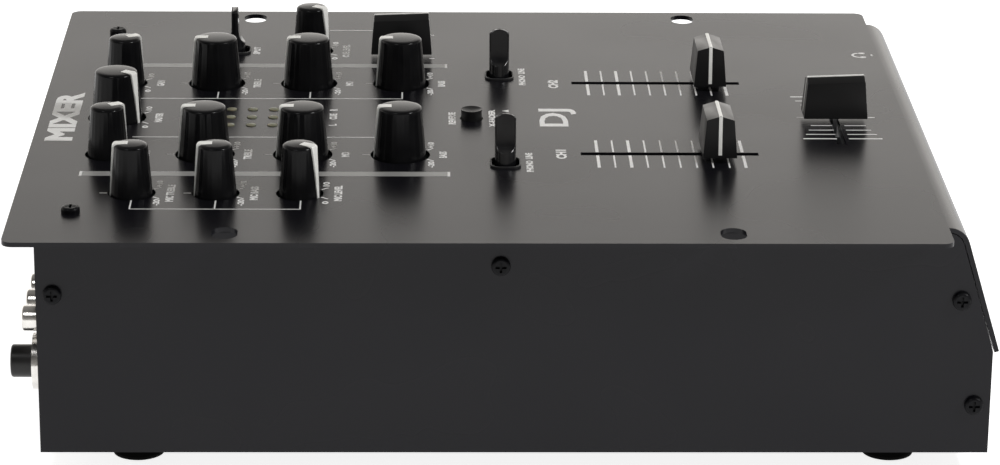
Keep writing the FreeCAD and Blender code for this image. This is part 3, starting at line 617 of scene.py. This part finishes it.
def ridge_line(name, place):
    """The line up one end, along the ridge and down the other."""
    bm = bmesh.new()
    far_ridge = CAP_RIDGE - CAP_FALL
    path = [(-cap_end(LINE_FOOT) - PROUD, LINE_FOOT, 0.0),
            (-cap_end(CAP_RIDGE) - PROUD, CAP_RIDGE - 0.05, 0.10),
            (-cap_end(CAP_RIDGE) + 0.12, CAP_RIDGE + LIFT, 0.14),
            (cap_end(far_ridge) - 0.12, far_ridge + LIFT, 0.14),
            (cap_end(far_ridge) + PROUD, far_ridge - 0.05, 0.10),
            (cap_end(LINE_FOOT) + PROUD, LINE_FOOT, 0.0)]
    rows = [[bm.verts.new((along, side * LINE_HALF, z - abs(side) * fall)) for side in (-1, 0, 1)]
            for along, z, fall in path]
    for row, after in zip(rows, rows[1:]):
        for k in (0, 1):
            bm.faces.new((row[k], row[k + 1], after[k + 1], after[k]))
    bm.faces.ensure_lookup_table()
    bm.normal_update()
    if bm.faces[4].normal.z < 0:
        bmesh.ops.reverse_faces(bm, faces=bm.faces)
    bmesh.ops.solidify(bm, geom=bm.faces[:], thickness=LINE_THICK)
    bmesh.ops.transform(bm, matrix=place @ shrink, verts=bm.verts)
    piece(name + "_line", bm, pointer_white, name, sharp=50)


faders = {"left_fader": False, "right_fader": False, "crossfader": True, "cue_fader": True}
for name, sideways in faders.items():
    place = cap_place(name, sideways)
    fader_cap(name, place)
    ridge_line(name, place)
print(len(faders), "fader caps")


# %% [markdown]
# ## Flat-handled switches
# The handle starts as a round rod. Its upper part is hollowed from both sides into a
# thin paddle, so each flat ends below in a U-shaped edge, and its tip is an arc. The
# rod's rings are drawn in level by level, which is how a file would work it. Its lower
# end stays open, because it is under the plate.

# %% Switch handles
BAT_RADIUS, BAT_FOOT, FLAT_START, BAT_TOP = 3.45, -2.0, 3.4, 16.15
PADDLE_HALF, DISH = 1.15, 1.6        # half the paddle's thickness, how gently it is reached
PIVOT = 6.0                          # the tipping axis, below the plate's top
ROUND_START, TIP_FALL = 10.0, 1.3    # where the tip's arc starts, how far its corners fall


def half_thickness(z):
    """How thick one side of the handle is at a height above the plate."""
    if z <= FLAT_START:
        return BAT_RADIUS
    return PADDLE_HALF + (BAT_RADIUS - PADDLE_HALF) * math.exp(-(z - FLAT_START) / DISH)


def bat(name, x, back, tilt, quarter):
    """One handle, tilted about the pivot under the plate; quarter turns the way it tips."""
    bm = bmesh.new()
    levels = 54
    circle = bmesh.ops.create_circle(bm, cap_ends=True, segments=64, radius=BAT_RADIUS)["verts"]
    bmesh.ops.translate(bm, vec=(0, 0, BAT_FOOT), verts=circle)
    face = bm.faces[:][0]
    for level in range(levels):
        face = bmesh.ops.extrude_discrete_faces(bm, faces=[face])["faces"][0]
        bmesh.ops.translate(bm, vec=(0, 0, (BAT_TOP - BAT_FOOT) / levels), verts=face.verts)
    bmesh.ops.remove_doubles(bm, verts=bm.verts, dist=1e-6)
    for v in bm.verts:
        limit = half_thickness(v.co.z)
        v.co.x = max(-limit, min(limit, v.co.x))
        above = max(0.0, v.co.z - ROUND_START) / (BAT_TOP - ROUND_START)
        v.co.z -= above * TIP_FALL * (v.co.y / BAT_RADIUS) ** 2
    bmesh.ops.recalc_face_normals(bm, faces=bm.faces)
    rim = [e for e in bm.edges if e.calc_face_angle(0) > 0.7 and e.verts[0].co.z > 8.0]
    bmesh.ops.bevel(bm, geom=rim, offset=0.3, affect="EDGES", segments=2, profile=0.5, material=-1)
    turn = (Matrix.Rotation(math.radians(quarter), 4, "Z")
            @ Matrix.Rotation(math.radians(tilt), 4, "Y"))
    place = (Matrix.Translation(on_plate(x, back, -PIVOT)) @ turn
             @ Matrix.Translation((0, 0, PIVOT * MM)))
    bmesh.ops.transform(bm, matrix=place @ shrink, verts=bm.verts)
    piece(name + "_handle", bm, toggle_plastic, name, [name], sharp=30)


print(f"handles stand {BAT_TOP} mm over the plate")

# %% [markdown]
# The plate's hole round each handle is lined with a low frame with rounded corners. Five
# loops of points make its section: outer foot, outer top, a small chamfer, inner top and
# inner foot. Neighbouring loops are joined, and the last one closes on the first.

# %% Collars, and all the switches


def collar(bm, x, back, quarter):
    """A low rounded frame that lines the plate's hole for a switch."""
    def frame_loop(long_way, wide_way, corner, z):
        """A ring of points round a rounded rectangle, given half its length and width."""
        loop = []
        for sx, sy, start in ((1, 1, 0), (-1, 1, 90), (-1, -1, 180), (1, -1, 270)):
            for step in range(7):
                angle = math.radians(start + 15 * step)
                px = sx * (long_way - corner) + corner * math.cos(angle)
                py = sy * (wide_way - corner) + corner * math.sin(angle)
                loop.append(bm.verts.new((px, py, z)))
        return loop

    loops = [frame_loop(*sizes) for sizes in
             ((5.5, 5.0, 3.0, 0.02), (5.5, 5.0, 3.0, 0.6), (5.35, 4.85, 2.9, 0.75),
              (5.08, 4.5, 2.7, 0.75), (5.08, 4.5, 2.7, 0.02))]
    made = [v for loop in loops for v in loop]
    for one, two in zip(loops, loops[1:] + loops[:1]):
        for k in range(len(one)):
            after = (k + 1) % len(one)
            bm.faces.new((one[k], one[after], two[after], two[k]))
    place = Matrix.Translation(on_plate(x, back)) @ Matrix.Rotation(math.radians(quarter), 4, "Z")
    bmesh.ops.transform(bm, matrix=place @ shrink, verts=made)


switches = {
    # name: (x, distance from the rear edge, tilt at rest, quarter turn of the way it tips)
    "left_input_toggle": (-50.2, 154.8, 12.0, 0.0),
    "right_input_toggle": (46.6, 154.8, 12.0, 0.0),
    "cue_split_toggle": (76.6, 62.0, 0.0, 90.0),
}
frames = bmesh.new()
for name, (x, back, tilt, quarter) in switches.items():
    bat(name, x, back, tilt, quarter)
    collar(frames, x, back, quarter)
piece("switch_collars", frames, switch_plastic, "root", sharp=25)
print(len(switches), "switch handles with collars")

# %% [markdown]
# ## The back
# The phono sockets are turned from plated metal, with a rolled rim and a coloured
# insulator round the hole: white for left, red for right. The names of the sockets are
# printed on the rear panel, to be read from behind.

# %% Phono sockets
rear_low, rear_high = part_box("rear_panel")
BACK = rear_high.y
SOCKET_Z = TOP / MM - 36.4                # height of the row, over the table
PITCH, FIRST_SOCKET = 14.5, 95.0
left_group = [-FIRST_SOCKET + i * PITCH for i in range(4)]
middle_group = [(i - 1.5) * PITCH for i in range(4)]
socket_places = left_group + middle_group + [-x for x in reversed(left_group)]


def on_back(x, z, lift=0.0):
    """A point over the rear panel, in mm: x, height over the table, distance from it."""
    return Vector((x * MM, BACK + lift * MM, z * MM))


def lathe(bm, outline, x, z):
    """Spins a closed outline, of radii and distances from the panel, round a socket's middle."""
    ring = [bm.verts.new(on_back(x, z, out) + Vector((r * MM, 0, 0))) for r, out in outline]
    edges = [bm.edges.new(pair) for pair in zip(ring, ring[1:] + ring[:1])]
    bmesh.ops.spin(bm, geom=ring + edges, cent=on_back(x, z), axis=(0, 1, 0), angle=2 * math.pi,
                   steps=40, use_merge=True)


barrel_outline = [(3.0, -1.0), (3.75, -1.0), (3.75, 0.1), (4.1, 0.3), (4.1, 6.3), (3.98, 6.7),
                  (3.7, 6.95), (3.4, 6.95), (3.2, 6.75), (3.1, 6.4), (3.0, 5.2)]
insulator_outline = [(1.75, -0.8), (2.98, -0.8), (2.98, 5.6), (2.8, 5.8), (1.9, 5.8), (1.75, 5.6)]
block_size = Matrix.Diagonal((9.9 * MM, 9.9 * MM, 11.4 * MM, 1.0))
barrels, whites, reds, blocks = bmesh.new(), bmesh.new(), bmesh.new(), bmesh.new()
for index, x in enumerate(socket_places):
    lathe(barrels, barrel_outline, x, SOCKET_Z)
    lathe(reds if index % 2 else whites, insulator_outline, x, SOCKET_Z)
    block_middle = Matrix.Translation(on_back(x, SOCKET_Z - 0.25, -6.5))
    bmesh.ops.create_cube(blocks, size=1.0, matrix=block_middle @ block_size)
for bm in (barrels, whites, reds):
    bmesh.ops.remove_doubles(bm, verts=bm.verts, dist=1e-7)
piece("socket_barrels", barrels, nickel_plate, "root", ["rca_jacks"], sharp=40)
piece("white_insulators", whites, insulator_white, "root", sharp=40)
piece("red_insulators", reds, insulator_red, "root", sharp=40)
piece("socket_blocks", blocks, jack_plastic, "root", sharp=40)
print(len(socket_places), "phono sockets")

# %% [markdown]
# Words on the rear panel are made like those on the plate, then stood upright and turned
# to face backwards. A matrix whose rows are the panel's own directions does both.

# %% Printing on the rear panel
def rear_words(bm, text, x0, x1, z, height):
    """Words read from behind, so their first letter is at the larger x."""
    facing = Matrix(((-1, 0, 0, 0), (0, 0, 1, 0), (0, 1, 0, 0), (0, 0, 0, 1)))
    words(bm, text, x0, x1, 0.0, height, Matrix.Translation(on_back((x0 + x1) / 2, z)) @ facing)


LOW_ROW, PAIR_HALF, LETTER_ROOM = 34.5, 8.5, 3.4 / 3
rear_print = bmesh.new()
for x, name in ((-87.75, "CH1 PHONO"), (-58.75, "CH1 LINE"), (-14.5, "MASTER"), (14.5, "RECORD"),
                (58.75, "CH2 LINE"), (87.75, "CH2 PHONO")):
    rear_words(rear_print, name, x - PAIR_HALF, x + PAIR_HALF, SOCKET_Z + 9.0, 2.4)
for index, x in enumerate(socket_places):
    rear_words(rear_print, "R" if index % 2 else "L", x - 0.8, x + 0.8, SOCKET_Z - 7.2, 1.9)
for x, name in ((-20.0, "BOOTH"), (45.0, "MIC"), (70.0, "MIC")):
    half = LETTER_ROOM * len(name)
    rear_words(rear_print, name, x - half, x + half, LOW_ROW, 2.4)
rear_words(rear_print, "GND", 3.6, 10.4, LOW_ROW, 2.4)
rear_words(rear_print, "POWER", -100.5, -88.5, 16.5, 2.6)
rear_words(rear_print, "DC", -68.4, -63.6, LOW_ROW, 2.6)
piece("rear_printing", rear_print, white_ink, "root")
print("rear panel printed")

# %% [markdown]
# ## The room
# The mixer stands on a plain white floor. The floor glows a little, so it stays white
# right up to the mixer's edge. It isn't part of the mixer.

# %% Floor
floor_bm = bmesh.new()
bmesh.ops.create_grid(floor_bm, x_segments=1, y_segments=1, size=6.0)
floor_mesh = bpy.data.meshes.new("floor")
floor_bm.to_mesh(floor_mesh)
floor_bm.free()
floor = bpy.data.objects.new("floor", floor_mesh)
bpy.context.scene.collection.objects.link(floor)
pale = bpy.data.materials.new("pale_floor")
pale.use_nodes = True
floor_shader = pale.node_tree.nodes["Principled BSDF"]
floor_shader.inputs["Base Color"].default_value = (0.86, 0.86, 0.86, 1)
floor_shader.inputs["Roughness"].default_value = 0.9
floor_shader.inputs["Specular IOR Level"].default_value = 0.0
floor_shader.inputs["Emission Color"].default_value = (1, 1, 1, 1)
floor_shader.inputs["Emission Strength"].default_value = 0.85
floor_mesh.materials.append(pale)
print("floor laid")

# %% [markdown]
# The room is brightest low down and beyond the mixer, falls off quickly overhead, and is
# dim on the near side. A satin plate seen from a low angle mirrors the bright far side,
# which is what makes black paint look grey, while the near faces stay dark. Each fade
# below is one Map Range node on one direction, and the fades are multiplied.

# %% The room's light
world = bpy.data.worlds.new("studio")
bpy.context.scene.world = world
world.use_nodes = True
tree = world.node_tree
background = tree.nodes["Background"]
sky = tree.nodes.new("ShaderNodeTexCoord")
split = tree.nodes.new("ShaderNodeSeparateXYZ")
tree.links.new(sky.outputs["Generated"], split.inputs["Vector"])


def fade(axis, start, end, first, last):
    """Brightness that goes from first to last as one direction goes from start to end."""
    node = tree.nodes.new("ShaderNodeMapRange")
    ranges = {"From Min": start, "From Max": end, "To Min": first, "To Max": last}
    for socket, value in ranges.items():
        node.inputs[socket].default_value = value
    tree.links.new(split.outputs[axis], node.inputs["Value"])
    return node.outputs["Result"]


def both(first, second):
    """Two brightnesses multiplied."""
    node = tree.nodes.new("ShaderNodeMath")
    node.operation = "MULTIPLY"
    tree.links.new(first, node.inputs[0])
    tree.links.new(second, node.inputs[1])
    return node.outputs["Value"]


overhead = fade("Z", 0.20, 0.60, 1.0, 0.17)
near_side = fade("X", -0.45, 0.25, 0.20, 1.0)
front_side = fade("Y", -0.9, -0.3, 0.45, 1.0)
rear_side = fade("Y", -0.12, 0.20, 1.0, 0.78)
tree.links.new(both(both(overhead, near_side), both(front_side, rear_side)),
               background.inputs["Strength"])
background.inputs["Color"].default_value = (1.97, 1.90, 1.81, 1)
print("the room fades in four ways")

# %% [markdown]
# Two square lamps add the small glints on the knobs' shoulders and the screws. Both aim
# at the middle of the mixer.

# %% Lamps
LAMP_AIM = Vector((0, 0, 0.08))


def lamp(name, where, side, power):
    """A square lamp of a side in metres and a power in watts, aimed at the mixer."""
    light = bpy.data.lights.new(name, "AREA")
    light.shape, light.size, light.size_y, light.energy = "RECTANGLE", side, side, power
    made = bpy.data.objects.new(name, light)
    made.location = where
    made.rotation_euler = (LAMP_AIM - Vector(where)).to_track_quat("-Z", "Y").to_euler()
    bpy.context.scene.collection.objects.link(made)


lamp("front_lamp", (-0.77, -1.54, 1.40), 0.42, 26.0)
lamp("side_softbox", (-1.1, 0.7, 1.5), 0.5, 5.0)
bpy.context.scene.view_settings.view_transform = "Standard"
print(len(bpy.data.lights), "lamps lit")

# %% [markdown]
# The camera looks across the mixer from its left side, from a metre off with a long
# lens, so the far rows of knobs are only a little smaller than the near ones. Its three
# directions are made square to each other before they become its matrix.

# %% Camera
eye = Vector((-1.19207, 0.02798, 0.45983))
view = Vector((0.94301, -0.02318, -0.331957))
upwards = Vector((0.332081, 0.001593, 0.94325))
right = view.cross(upwards).normalized()
upwards = right.cross(view).normalized()
camera_data = bpy.data.cameras.new("camera")
camera_data.lens, camera_data.sensor_width = 134.07, 36.0
camera_data.clip_start, camera_data.clip_end = 0.05, 50.0
camera = bpy.data.objects.new("camera", camera_data)
facing = Matrix((right, upwards, -view.normalized())).transposed().to_4x4()
camera.matrix_world = Matrix.Translation(eye) @ facing
bpy.context.scene.collection.objects.link(camera)
bpy.context.scene.camera = camera
print("camera at", [round(c, 3) for c in eye])
